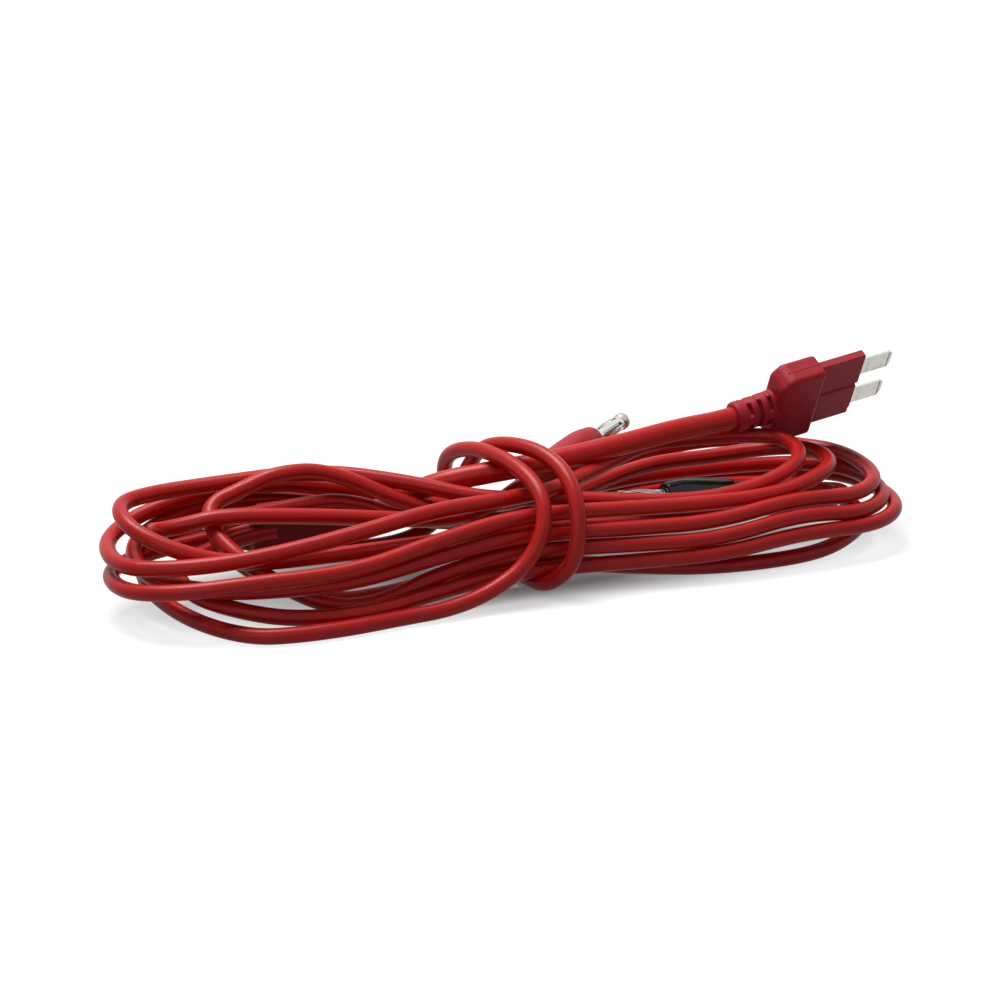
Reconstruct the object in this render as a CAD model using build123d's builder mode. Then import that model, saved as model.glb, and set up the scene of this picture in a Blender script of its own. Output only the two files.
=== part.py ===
"""A fused-power test lead: a blade-fuse plug on a short two-core cord, a splitter, and two long
leads that end in 4 mm spring-cage banana plugs. The leads are hanked and tied with their own tail.

Millimetres. +Z is up, +X runs along the hank towards the blade plug, and the origin is in the
middle of the resting footprint.
"""
from build123d import *
import math
import os

os.makedirs("parts", exist_ok=True)

# Cords
CORD_DIAMETER = 5.0          # two-core cord between the blade plug and the splitter
LEAD_DIAMETER = 3.5          # each single-core lead
CORE_DIAMETER = 1.6          # one bare conductor
CORD_PLAY = 0.02             # radial, where a cord or lead enters a moulding

# Blade plug: where its cord comes out, and how it lies
PLUG_EXIT = (53.7, 7.9, 27.5)
PLUG_HEADING = 6.7           # degrees from +X towards +Y
PLUG_RISE = 7.9              # degrees above the horizontal
PLUG_LEAN = 31.0             # degrees that the plate leans back from upright
COLLAR_DIAMETER = 7.2
COLLAR_LENGTH = 2.7
COLLAR_CORNER = 3.5          # nearly round where the relief begins
RELIEF_LENGTH = 7.1          # slotted strain relief between the collar and the head
RELIEF_WIDTH = 9.5           # where it meets the head
RELIEF_DEPTH = 6.6
RELIEF_CORNER = 3.0
SLOT_ROWS = 3
SLOT_SIDES = 4               # slots round the relief in a row
LONG_ROW = 1                 # this row of slots runs out at the lower edge
SLOT_WIDTH = 0.95
SLOT_PITCH = 2.6
SLOT_INSET = 0.8             # from the last row to the head
SLOT_TURN = 115.0            # degrees from the flat face at the back to the first slot of a row
SLOT_HEIGHT = 2.8
LONG_REACH = 4.0             # the long slot runs out at the lower edge
SLOT_FLOOR = 2.8             # from the axis to the floor of a slot
HEAD_LENGTH = 11.7
HEAD_WIDTH = 20.8
HEAD_DEPTH = 6.6
HEAD_CHAMFER = 2.3
CORD_SEAT = 6.0              # how far the cord reaches into the plug
BODY_LENGTH = 12.0           # the flat part that stands out of the head
BODY_WIDTH = 19.3
BODY_DEPTH = 2.1
BODY_CHAMFER = 0.8
TONGUE_LENGTH = 5.0          # the flat part inside the head
GROOVE_WIDTH = 1.4
GROOVE_DEPTH = 0.4
BLADE_LENGTH = 8.7           # what stands out of the flat body
BLADE_WIDTH = 5.2
BLADE_DEPTH = 0.7
BLADE_SPACING = 9.75         # between the blades' centre lines
BLADE_CHAMFER = 1.0
BLADE_TAIL = 2.0             # what stands out of the tongue, towards the cord
CRIMP_DIAMETER = 2.6
CRIMP_LENGTH = 2.0
CORE_SPACING = 1.9           # between the cores in the cord
CORE_STRAIGHT = 3.0          # the cores run on side by side for this far, past the slots
CORE_LEAD_IN = 1.0           # and straight for this far into the crimps

# Splitter, with its cord end at this point and its leads towards -X
SPLITTER_FACE = (-37.0, 13.0, 11.5)
SPLITTER_LENGTH = 22.0
SPLITTER_WIDTH = 11.0
SPLITTER_DEPTH = 7.0
SPLITTER_ROUND = 1.5
SPLITTER_CORD_SEAT = 4.0
SPLITTER_LEAD_SEAT = 5.0
SPLITTER_SPACING = 4.4       # between the two leads
SPLICE_DIAMETER = 2.4

# Banana plugs: the middle of the front face, heading and rise of the contact
BANANAS = {
    "red": ((24.3, 20.0, 21.9), 32.7, 8.5),
    "black": ((35.2, 4.0, 11.7), 188.0, 6.0),
}
SLEEVE_LENGTH = 18.0
SLEEVE_FACE_RADIUS = 3.3
SLEEVE_BULGE_RADIUS = 4.05
SLEEVE_BULGE_AT = 6.0
SLEEVE_REAR_RADIUS = 3.6
NECK_LENGTH = 9.0
NECK_TAPER = 1.3             # length of the cone between the body and the neck
NECK_FRONT_RADIUS = 2.85
NECK_REAR_RADIUS = 2.6
LEAD_SEAT = 7.0              # how far the lead reaches into the neck
SHANK_DIAMETER = 3.8
SHANK_LENGTH = 14.0
CUP_DEPTH = 5.0              # hollow end of the shank, crimped on the conductor
FLANGE_LENGTH = 1.0          # shank that shows in front of the sleeve
SPINDLE_DIAMETER = 2.4       # the cage turns on it
CAGE_PLAY = 0.05             # radial running clearance
CAGE_END_PLAY = 0.1
CAGE_LENGTH = 9.2
CAGE_RING_RADIUS = 1.75
CAGE_RING_LENGTH = 1.0
CAGE_LEAF_RADIUS = 2.07
CAGE_LEAF_DEPTH = 0.35
CAGE_RAMP = 1.2              # where a leaf rises from the ring to its full radius
CAGE_SLOT_WIDTH = 0.45
CAGE_LEAVES = 6
TIP_LENGTH = 2.5
TIP_RADIUS = 1.98
TIP_CYLINDER = 1.4
TIP_SOCKET = 0.9             # depth of the spindle's end in the tip

# Hank of both leads: two lobes joined by a waist that the leads are tied round
LEFT_END = -95.2
LEFT_INNER = -14.0
RIGHT_INNER = 16.0
RIGHT_END = 90.8
FRONT = -23.7
LEFT_BACK = 22.8
RIGHT_BACK = 28.8
LOBE_ROUND = 20.0
EDGE_ROUND = 3.5
LEFT_TOP_FRONT = 18.5        # height of the left lobe's sloping top at its front
LEFT_TOP_BACK = 24.5
RIGHT_TOP = 19.2
WAIST_TOP = 18.0
WAIST_UNDERSIDE = 4.2        # the ties pass below the waist
WAIST_FRONT = -16.5
WAIST_BACK = 17.0
LEFT_HOLE = (-75.0, -22.0, -10.5, 8.5)        # low x, high x, low y, high y
RIGHT_HOLE = (20.0, 44.0, -8.0, 14.0)
HOLE_ROUND = 6.0
BACK_UNDERSIDE = 15.3        # underside of the left lobe's raised back
LEDGE_WIDTH = 10.0           # strands between the splitter and the left end
LEDGE_UNDERSIDE = 8.0
BACK_OVERRUN = 0.5           # the cut below the back passes its edge by this much
MOUTH = (-36.0, -13.0, 3.0, 16.0)             # where the cord dives between the strands
NEST = (43.0, 71.0, -8.0, 14.0)               # where the black plug lies
NEST_FLOOR = 8.0
SEAT_GAP = 0.3               # between a plug and the strands that carry it
NOSE_ROOM = 1.0              # beyond a plug's tip

# Free stretches of cord, as points along the way from one seat to the next
CORD_ROUTE = [
    (41.7, 6.0, 27.0), (34.4, 5.0, 26.4), (27.0, 3.9, 25.6), (18.5, 3.0, 24.8), (9.5, 2.7, 23.8),
    (0.0, 3.0, 22.9), (-9.1, 4.2, 21.8), (-16.4, 6.6, 20.3), (-22.3, 9.3, 17.8), (-27.0, 11.3, 15.1),
    (-31.4, 12.6, 12.8),
]
TIE_ROUTE = [
    (-76, -17, 4), (-69, -25, 2.2), (-59.5, -27.4, 1.9), (-48.5, -27, 1.8), (-37, -25.2, 1.9),
    (-26, -24.5, 2.2), (-16, -22.7, 4.2), (-8, -21.5, 9), (-4, -20.5, 17), (-3, -16, 25),
    (-5, -6, 30.5), (-9, 7, 31), (-13, 17.5, 26.5), (-13.5, 22.3, 17.5), (-10.5, 21.5, 8.5),
    (-6, 15, 3), (-1, 4, 1.9), (3, -8, 1.9), (5.5, -17.5, 4), (7, -22, 11), (6.5, -21, 20),
    (4, -13.5, 27.5), (0, -1, 30.8), (-5, 11, 28.5), (-8, 19.5, 23), (-9, 21.5, 16),
    (-11.5, 20.5, 10), (-16.5, 16.5, 6), (-21, 12, 5),
]
TAIL_ROUTES = {
    "red": [(-6.0, -0.5, 15.2)],
    "black": [(71.5, 9.0, 7.6), (78.0, 7.5, 7.4)],
}
STRAIGHT_LEAD_OUT = 3.0      # a cord leaves a plug straight for this far
SPLITTER_LEAD_OUT = 1.0      # and the splitter for this far
SMOOTHNESS = 0.45            # share of a run that the bends at its ends may take


def aimed(heading, rise):
    """The direction at these angles from +X."""
    return Vector(1, 0, 0).rotate(Axis.Y, -rise).rotate(Axis.Z, heading)


def lying_plane(origin, heading, rise, lean=0.0):
    """A plane with x along a plug's axis and z through its thickness."""
    forward = aimed(heading, rise)
    sideways = Vector(0, 1, 0).rotate(Axis.Z, heading)
    return Plane(origin=origin, x_dir=forward, z_dir=sideways.rotate(Axis((0, 0, 0), forward), lean))


def across(plane, distance, y=0.0, z=0.0):
    """A plane square to a plug's axis, at a distance along it."""
    return Plane(origin=plane.from_local_coords((distance, y, z)), x_dir=plane.y_dir, z_dir=plane.x_dir)


def corner_radii(points):
    """The largest smooth radius at each inner point of a route."""
    radii = []
    for before, here, after in zip(points, points[1:], points[2:]):
        arriving = Vector(here) - Vector(before)
        leaving = Vector(after) - Vector(here)
        half_turn = Vector(*arriving).get_angle(leaving) / 2
        shorter = min(arriving.length, leaving.length)
        radii.append(SMOOTHNESS * shorter / math.tan(math.radians(half_turn)))
    return radii


def start_plane(points):
    """The plane square to a route at its first point."""
    return Plane(origin=points[0], z_dir=Vector(points[1]) - Vector(points[0]))


def save(piece, label):
    """Labels a finished piece and writes it."""
    piece.label = label
    export_step(piece, f"parts/{label}.step")


def save_cord(cord, points, diameter, label):
    """Writes a cord, and prints its radii and how its volume compares with its length."""
    radii = corner_radii(points)
    length = FilletPolyline(*points, radius=radii).length
    section = math.pi * diameter**2 / 4
    print(label, "radii", [round(radius, 1) for radius in radii])
    print(label, "length", round(length, 1), "volume ratio", round(cord.volume / (section * length), 4))
    save(cord, label)


plug = lying_plane(PLUG_EXIT, PLUG_HEADING, PLUG_RISE, PLUG_LEAN)
HEAD_START = COLLAR_LENGTH + RELIEF_LENGTH
HEAD_END = HEAD_START + HEAD_LENGTH
BODY_END = HEAD_END + BODY_LENGTH
BODY_START = HEAD_END - TONGUE_LENGTH
BLADE_START = BODY_START - BLADE_TAIL
BLADE_END = BODY_END + BLADE_LENGTH
CRIMP_START = BLADE_START - CRIMP_LENGTH
SIDES = {"upper": -1, "lower": 1}

# Blades, each with a crimp on its tail and a core of the cord in the crimp
blades = {}
crimps = {}
cores = {}
for side, sign in SIDES.items():
    line = sign * BLADE_SPACING / 2
    with BuildPart() as blade:
        with BuildSketch(plug):
            with Locations(((BLADE_START + BLADE_END) / 2, line)):
                Rectangle(BLADE_END - BLADE_START, BLADE_WIDTH)
        extrude(amount=BLADE_DEPTH / 2, both=True)
        tip_edges = blade.edges().filter_by(Axis((0, 0, 0), plug.z_dir)).sort_by(Axis((0, 0, 0), plug.x_dir))[-2:]
        chamfer(tip_edges, length=BLADE_CHAMFER)
    save(blade.part, f"blade_{side}")
    blades[side] = blade.part

    with BuildPart() as crimp:
        with BuildSketch(across(plug, CRIMP_START, line)):
            Circle(CRIMP_DIAMETER / 2)
            Circle(CORE_DIAMETER / 2, mode=Mode.SUBTRACT)
        extrude(amount=CRIMP_LENGTH)
    save(crimp.part, f"crimp_{side}")
    crimps[side] = crimp.part

    core_line = sign * CORE_SPACING / 2
    core_points = [
        plug.from_local_coords((CORD_SEAT, core_line, 0)),
        plug.from_local_coords((CORD_SEAT + CORE_STRAIGHT, core_line, 0)),
        plug.from_local_coords((CRIMP_START - CORE_LEAD_IN, line, 0)),
        plug.from_local_coords((BLADE_START, line, 0)),
    ]
    with BuildPart() as core:
        with BuildLine():
            FilletPolyline(*core_points, radius=CORE_DIAMETER)
        with BuildSketch(across(plug, CORD_SEAT, core_line)):
            Circle(CORE_DIAMETER / 2)
        sweep()
    save(core.part, f"core_{side}")
    cores[side] = core.part

# Flat fuse-shaped body with a groove along the middle of each face, moulded round the blades
with BuildPart() as fuse_body:
    with BuildSketch(plug):
        with Locations(((BODY_START + BODY_END) / 2, 0)):
            Rectangle(BODY_END - BODY_START, BODY_WIDTH)
    extrude(amount=BODY_DEPTH / 2, both=True)
    body_corners = fuse_body.edges().filter_by(Axis((0, 0, 0), plug.z_dir))
    chamfer(body_corners.sort_by(Axis((0, 0, 0), plug.x_dir))[-2:], length=BODY_CHAMFER)
    for face_height in (BODY_DEPTH / 2, -BODY_DEPTH / 2):
        with BuildSketch(plug.offset(face_height)):
            with Locations(((HEAD_END + BODY_END) / 2, 0)):
                Rectangle(BODY_LENGTH, GROOVE_WIDTH)
        extrude(amount=GROOVE_DEPTH, both=True, mode=Mode.SUBTRACT)
    for side in SIDES:
        add(blades[side], mode=Mode.SUBTRACT)
save(fuse_body.part, "fuse_body")

# Overmould: collar, slotted strain relief and head in one moulding
with BuildPart() as overmould:
    with BuildSketch(across(plug, 0)):
        Circle(COLLAR_DIAMETER / 2)
    extrude(amount=COLLAR_LENGTH)
    with BuildSketch(across(plug, COLLAR_LENGTH)):
        RectangleRounded(COLLAR_DIAMETER, COLLAR_DIAMETER, COLLAR_CORNER)
    with BuildSketch(across(plug, HEAD_START)):
        RectangleRounded(RELIEF_WIDTH, RELIEF_DEPTH, RELIEF_CORNER)
    loft()
    with BuildSketch(plug) as head_outline:
        with Locations(((HEAD_START + HEAD_END) / 2, 0)):
            Rectangle(HEAD_LENGTH, HEAD_WIDTH)
        rear_corners = head_outline.vertices().sort_by(Axis((0, 0, 0), plug.x_dir))[:2]
        chamfer(rear_corners, length=HEAD_CHAMFER)
    extrude(amount=HEAD_DEPTH / 2, both=True)
    for row in range(SLOT_ROWS):
        slot_middle = HEAD_START - SLOT_INSET - SLOT_WIDTH / 2 - (SLOT_ROWS - 1 - row) * SLOT_PITCH
        for side in range(SLOT_SIDES):
            turn = PLUG_LEAN + SLOT_TURN + side * 360 / SLOT_SIDES
            slot_side = lying_plane(PLUG_EXIT, PLUG_HEADING, PLUG_RISE, turn)
            slot_low = LONG_REACH if row == LONG_ROW and side == 0 else SLOT_HEIGHT / 2
            with BuildSketch(slot_side.offset(SLOT_FLOOR)):
                with Locations((slot_middle, (SLOT_HEIGHT / 2 - slot_low) / 2)):
                    Rectangle(SLOT_WIDTH, SLOT_HEIGHT / 2 + slot_low)
            extrude(amount=RELIEF_WIDTH, mode=Mode.SUBTRACT)
    with BuildSketch(across(plug, 0)):
        Circle(CORD_DIAMETER / 2 + CORD_PLAY)
    extrude(amount=CORD_SEAT, mode=Mode.SUBTRACT)
    with BuildSketch(plug):
        with Locations(((BODY_START + HEAD_END) / 2, 0)):
            Rectangle(TONGUE_LENGTH, BODY_WIDTH)
    extrude(amount=BODY_DEPTH / 2, both=True, mode=Mode.SUBTRACT)
    for side in SIDES:
        add(blades[side], mode=Mode.SUBTRACT)
        add(crimps[side], mode=Mode.SUBTRACT)
        add(cores[side], mode=Mode.SUBTRACT)
save(overmould.part, "overmould")

# Splitter boot with a splice for each core
splitter = Plane(origin=SPLITTER_FACE, x_dir=(-1, 0, 0), z_dir=(0, 0, 1))
SPLICE_END = SPLITTER_LENGTH - SPLITTER_LEAD_SEAT
with BuildPart() as boot:
    with BuildSketch(across(splitter, 0)):
        RectangleRounded(SPLITTER_WIDTH, SPLITTER_DEPTH, SPLITTER_ROUND)
    extrude(amount=SPLITTER_LENGTH)
    with BuildSketch(across(splitter, 0)):
        Circle(CORD_DIAMETER / 2 + CORD_PLAY)
    extrude(amount=SPLITTER_CORD_SEAT, mode=Mode.SUBTRACT)
    with BuildSketch(across(splitter, SPLICE_END)):
        with Locations((-SPLITTER_SPACING / 2, 0), (SPLITTER_SPACING / 2, 0)):
            Circle(LEAD_DIAMETER / 2 + CORD_PLAY)
    extrude(amount=SPLITTER_LEAD_SEAT, mode=Mode.SUBTRACT)
    with BuildSketch(across(splitter, SPLITTER_CORD_SEAT)):
        with Locations((-SPLITTER_SPACING / 2, 0), (SPLITTER_SPACING / 2, 0)):
            Circle(SPLICE_DIAMETER / 2)
    extrude(amount=SPLICE_END - SPLITTER_CORD_SEAT, mode=Mode.SUBTRACT)
save(boot.part, "splitter")

for colour, sign in (("red", -1), ("black", 1)):
    with BuildPart() as splice:
        with BuildSketch(across(splitter, SPLITTER_CORD_SEAT, sign * SPLITTER_SPACING / 2)):
            Circle(SPLICE_DIAMETER / 2)
        extrude(amount=SPLICE_END - SPLITTER_CORD_SEAT)
    save(splice.part, f"splice_{colour}")

# Two-core cord
cord_points = [
    plug.from_local_coords((CORD_SEAT, 0, 0)),
    plug.from_local_coords((-STRAIGHT_LEAD_OUT, 0, 0)),
    *CORD_ROUTE,
    splitter.from_local_coords((-SPLITTER_LEAD_OUT, 0, 0)),
    splitter.from_local_coords((SPLITTER_CORD_SEAT, 0, 0)),
]
with BuildPart() as cord:
    with BuildLine():
        FilletPolyline(*cord_points, radius=corner_radii(cord_points))
    with BuildSketch(start_plane(cord_points)):
        Circle(CORD_DIAMETER / 2)
    sweep()
save_cord(cord.part, cord_points, CORD_DIAMETER, "cord")

# The red lead's end, tied twice round the waist
with BuildPart() as tie:
    with BuildLine():
        FilletPolyline(*TIE_ROUTE, radius=corner_radii(TIE_ROUTE))
    with BuildSketch(start_plane(TIE_ROUTE)):
        Circle(LEAD_DIAMETER / 2)
    sweep()
save_cord(tie.part, TIE_ROUTE, LEAD_DIAMETER, "tie")

# Banana plugs
SLEEVE_END = -(SLEEVE_LENGTH + NECK_LENGTH)
LEAD_STOP = SLEEVE_END + LEAD_SEAT
CAGE_START = FLANGE_LENGTH + CAGE_END_PLAY
CAGE_END = CAGE_START + CAGE_LENGTH
TIP_START = CAGE_END + CAGE_END_PLAY
TIP_END = TIP_START + TIP_LENGTH
SHANK_RADIUS = SHANK_DIAMETER / 2
SPINDLE_RADIUS = SPINDLE_DIAMETER / 2
CORE_RADIUS = CORE_DIAMETER / 2
CAGE_BORE_RADIUS = SPINDLE_RADIUS + CAGE_PLAY
CAGE_INSIDE_RADIUS = CAGE_LEAF_RADIUS - CAGE_LEAF_DEPTH
bananas = {}
for colour, (face, heading, rise) in BANANAS.items():
    banana = lying_plane(face, heading, rise)
    bananas[colour] = banana
    spin_axis = Axis(banana.origin, banana.x_dir)

    with BuildPart() as sleeve:
        with BuildSketch(banana):
            with BuildLine():
                Line((0, SHANK_RADIUS), (0, SLEEVE_FACE_RADIUS))
                Spline(
                    (0, SLEEVE_FACE_RADIUS),
                    (-SLEEVE_BULGE_AT, SLEEVE_BULGE_RADIUS),
                    (-SLEEVE_LENGTH, SLEEVE_REAR_RADIUS),
                    tangents=[(-1, 0.5), (-1, 0)],
                )
                Polyline(
                    (-SLEEVE_LENGTH, SLEEVE_REAR_RADIUS),
                    (-SLEEVE_LENGTH - NECK_TAPER, NECK_FRONT_RADIUS),
                    (SLEEVE_END, NECK_REAR_RADIUS),
                    (SLEEVE_END, LEAD_DIAMETER / 2 + CORD_PLAY),
                    (LEAD_STOP, LEAD_DIAMETER / 2 + CORD_PLAY),
                    (LEAD_STOP, CORE_RADIUS),
                    (-SHANK_LENGTH, CORE_RADIUS),
                    (-SHANK_LENGTH, SHANK_RADIUS),
                    (0, SHANK_RADIUS),
                )
            make_face()
        revolve(axis=spin_axis)
    save(sleeve.part, f"{colour}_sleeve")

    with BuildPart() as pin:
        with BuildSketch(banana):
            with BuildLine():
                Polyline(
                    (-SHANK_LENGTH, CORE_RADIUS),
                    (-SHANK_LENGTH, SHANK_RADIUS),
                    (FLANGE_LENGTH, SHANK_RADIUS),
                    (FLANGE_LENGTH, SPINDLE_RADIUS),
                    (TIP_START + TIP_SOCKET, SPINDLE_RADIUS),
                    (TIP_START + TIP_SOCKET, 0),
                    (CUP_DEPTH - SHANK_LENGTH, 0),
                    (CUP_DEPTH - SHANK_LENGTH, CORE_RADIUS),
                    close=True,
                )
            make_face()
        revolve(axis=spin_axis)
    save(pin.part, f"{colour}_pin")

    with BuildPart() as conductor:
        with BuildSketch(across(banana, LEAD_STOP)):
            Circle(CORE_RADIUS)
        extrude(amount=CUP_DEPTH - SHANK_LENGTH - LEAD_STOP)
    save(conductor.part, f"{colour}_conductor")

    with BuildPart() as cage:
        with BuildSketch(banana):
            with BuildLine():
                Polyline(
                    (CAGE_START, CAGE_BORE_RADIUS),
                    (CAGE_START, CAGE_RING_RADIUS),
                    (CAGE_START + CAGE_RING_LENGTH, CAGE_RING_RADIUS),
                    (CAGE_START + CAGE_RING_LENGTH + CAGE_RAMP, CAGE_LEAF_RADIUS),
                    (CAGE_END - CAGE_RING_LENGTH - CAGE_RAMP, CAGE_LEAF_RADIUS),
                    (CAGE_END - CAGE_RING_LENGTH, CAGE_RING_RADIUS),
                    (CAGE_END, CAGE_RING_RADIUS),
                    (CAGE_END, CAGE_BORE_RADIUS),
                    (CAGE_END - CAGE_RING_LENGTH, CAGE_BORE_RADIUS),
                    (CAGE_END - CAGE_RING_LENGTH - CAGE_RAMP, CAGE_INSIDE_RADIUS),
                    (CAGE_START + CAGE_RING_LENGTH + CAGE_RAMP, CAGE_INSIDE_RADIUS),
                    (CAGE_START + CAGE_RING_LENGTH, CAGE_BORE_RADIUS),
                    close=True,
                )
            make_face()
        revolve(axis=spin_axis)
        slot_length = CAGE_LENGTH - 2 * CAGE_RING_LENGTH
        with BuildSketch(across(banana, CAGE_START + CAGE_RING_LENGTH)):
            with PolarLocations(CAGE_LEAF_RADIUS, CAGE_LEAVES):
                Rectangle(CAGE_LEAF_RADIUS * 2 - SPINDLE_RADIUS, CAGE_SLOT_WIDTH)
        extrude(amount=slot_length, mode=Mode.SUBTRACT)
    save(cage.part, f"{colour}_cage")

    with BuildPart() as tip:
        with BuildSketch(banana):
            with BuildLine():
                Polyline(
                    (TIP_END, 0),
                    (TIP_START + TIP_SOCKET, 0),
                    (TIP_START + TIP_SOCKET, SPINDLE_RADIUS),
                    (TIP_START, SPINDLE_RADIUS),
                    (TIP_START, TIP_RADIUS),
                    (TIP_START + TIP_CYLINDER, TIP_RADIUS),
                )
                TangentArc((TIP_END, 0), (TIP_START + TIP_CYLINDER, TIP_RADIUS), tangent=(0, 1))
            make_face()
        revolve(axis=spin_axis)
    save(tip.part, f"{colour}_tip")

    route = [
        banana.from_local_coords((LEAD_STOP, 0, 0)),
        banana.from_local_coords((SLEEVE_END - STRAIGHT_LEAD_OUT, 0, 0)),
        *TAIL_ROUTES[colour],
    ]
    with BuildPart() as tail:
        with BuildLine():
            FilletPolyline(*route, radius=corner_radii(route))
        with BuildSketch(start_plane(route)):
            Circle(LEAD_DIAMETER / 2)
        sweep()
    save_cord(tail.part, route, LEAD_DIAMETER, f"{colour}_tail")

# Hank
with BuildPart() as left_lobe:
    with BuildSketch():
        with Locations(((LEFT_END + LEFT_INNER) / 2, (FRONT + LEFT_BACK) / 2)):
            RectangleRounded(LEFT_INNER - LEFT_END, LEFT_BACK - FRONT, LOBE_ROUND)
    extrude(amount=LEFT_TOP_BACK + EDGE_ROUND)
    slope = (LEFT_TOP_BACK - LEFT_TOP_FRONT) / (LEFT_BACK - FRONT)
    split(bisect_by=Plane(origin=(0, FRONT, LEFT_TOP_FRONT), z_dir=(0, -slope, 1)), keep=Keep.BOTTOM)
    fillet(left_lobe.faces().sort_by(Axis.Z)[-1].edges(), radius=EDGE_ROUND)
    fillet(left_lobe.faces().sort_by(Axis.Z)[0].edges(), radius=EDGE_ROUND)

with BuildPart() as right_lobe:
    with BuildSketch():
        with Locations(((RIGHT_INNER + RIGHT_END) / 2, (FRONT + RIGHT_BACK) / 2)):
            RectangleRounded(RIGHT_END - RIGHT_INNER, RIGHT_BACK - FRONT, LOBE_ROUND)
    extrude(amount=RIGHT_TOP)
    fillet(right_lobe.faces().sort_by(Axis.Z)[-1].edges(), radius=EDGE_ROUND)
    fillet(right_lobe.faces().sort_by(Axis.Z)[0].edges(), radius=EDGE_ROUND)

with BuildPart() as hank:
    with BuildSketch(Plane.XY.offset(WAIST_UNDERSIDE)):
        with Locations(((LEFT_INNER + RIGHT_INNER) / 2, (WAIST_FRONT + WAIST_BACK) / 2)):
            Rectangle(RIGHT_INNER - LEFT_INNER + 2 * LOBE_ROUND, WAIST_BACK - WAIST_FRONT)
    extrude(amount=WAIST_TOP - WAIST_UNDERSIDE)
    fillet(hank.edges().filter_by(Axis.X), radius=EDGE_ROUND)
    add(left_lobe.part)
    add(right_lobe.part)
    for low_x, high_x, low_y, high_y in (LEFT_HOLE, RIGHT_HOLE):
        with BuildSketch():
            with Locations(((low_x + high_x) / 2, (low_y + high_y) / 2)):
                RectangleRounded(high_x - low_x, high_y - low_y, HOLE_ROUND)
        extrude(amount=LEFT_TOP_BACK, mode=Mode.SUBTRACT)
    # The left lobe's back hangs clear of the ground, on the strands that run to the splitter
    splitter_low_y = SPLITTER_FACE[1] - LEDGE_WIDTH / 2
    splitter_end_x = SPLITTER_FACE[0] - SPLITTER_LENGTH
    with BuildSketch():
        with Locations(((LEFT_HOLE[0] + LEFT_HOLE[1]) / 2, (splitter_low_y + LEFT_BACK) / 2)):
            Rectangle(LEFT_HOLE[1] - LEFT_HOLE[0], LEFT_BACK - splitter_low_y + 2 * BACK_OVERRUN)
    extrude(amount=BACK_UNDERSIDE, mode=Mode.SUBTRACT)
    with BuildSketch(Plane.XY.offset(LEDGE_UNDERSIDE)):
        with Locations(((LEFT_HOLE[0] + splitter_end_x) / 2, SPLITTER_FACE[1])):
            Rectangle(splitter_end_x - LEFT_HOLE[0], LEDGE_WIDTH)
    extrude(amount=BACK_UNDERSIDE - LEDGE_UNDERSIDE)
    with BuildSketch(across(splitter, SPLICE_END)):
        with Locations((-SPLITTER_SPACING / 2, 0), (SPLITTER_SPACING / 2, 0)):
            Circle(LEAD_DIAMETER / 2)
    extrude(amount=SPLITTER_LEAD_SEAT)
    with BuildSketch(Plane.XY.offset(LEDGE_UNDERSIDE)):
        with Locations(((MOUTH[0] + MOUTH[1]) / 2, (MOUTH[2] + MOUTH[3]) / 2)):
            Rectangle(MOUTH[1] - MOUTH[0], MOUTH[3] - MOUTH[2])
    extrude(amount=LEFT_TOP_BACK, mode=Mode.SUBTRACT)
    with BuildSketch(Plane.XY.offset(NEST_FLOOR)):
        with Locations(((NEST[0] + NEST[1]) / 2, (NEST[2] + NEST[3]) / 2)):
            Rectangle(NEST[1] - NEST[0], NEST[3] - NEST[2])
    extrude(amount=RIGHT_TOP, mode=Mode.SUBTRACT)
    # Each banana plug lies in a trough that its sleeve leaves free
    for banana in bananas.values():
        with BuildSketch(across(banana, SLEEVE_END - LEAD_DIAMETER)):
            Circle(SLEEVE_BULGE_RADIUS + SEAT_GAP)
        extrude(amount=TIP_END + NOSE_ROOM - SLEEVE_END + LEAD_DIAMETER, mode=Mode.SUBTRACT)
save(hank.part, "hank")
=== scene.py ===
import math

import bmesh
import bpy
import numpy as np
from mathutils import Matrix, Vector


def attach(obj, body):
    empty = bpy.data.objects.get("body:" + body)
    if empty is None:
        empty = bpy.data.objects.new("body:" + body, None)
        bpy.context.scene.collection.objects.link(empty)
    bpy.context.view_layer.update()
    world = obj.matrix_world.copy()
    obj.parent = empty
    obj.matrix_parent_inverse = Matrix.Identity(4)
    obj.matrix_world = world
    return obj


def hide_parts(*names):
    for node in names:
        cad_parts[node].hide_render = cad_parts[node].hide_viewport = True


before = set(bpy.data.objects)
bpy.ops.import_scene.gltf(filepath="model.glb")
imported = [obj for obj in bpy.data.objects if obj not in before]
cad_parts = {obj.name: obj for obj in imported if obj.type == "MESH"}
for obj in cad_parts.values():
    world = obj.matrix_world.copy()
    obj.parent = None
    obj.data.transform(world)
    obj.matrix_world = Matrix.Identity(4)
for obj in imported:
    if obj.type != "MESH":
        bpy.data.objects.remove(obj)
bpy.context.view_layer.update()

# The camera stands in front of the lead set, a little to its left, and looks down on it with a
# long lens, so that the blade plug points away to the right. Nothing here belongs to the object.
MM = 0.001
bpy.context.scene.view_settings.view_transform = "Standard"
camera = bpy.data.objects.new("camera", bpy.data.cameras.new("camera"))
camera.data.sensor_width = 36
camera.data.lens = 97.2
camera.data.clip_start = 0.02
bpy.context.collection.objects.link(camera)
bpy.context.scene.camera = camera
view_turn = math.radians(20)
view_drop = math.radians(18)
view_distance = 0.6
looking = Vector((
    math.sin(view_turn) * math.cos(view_drop),
    math.cos(view_turn) * math.cos(view_drop),
    -math.sin(view_drop),
))
camera.location = Vector((-4, 5, 15)) * MM - view_distance * looking
camera.rotation_euler = looking.to_track_quat("-Z", "Y").to_euler()


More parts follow.
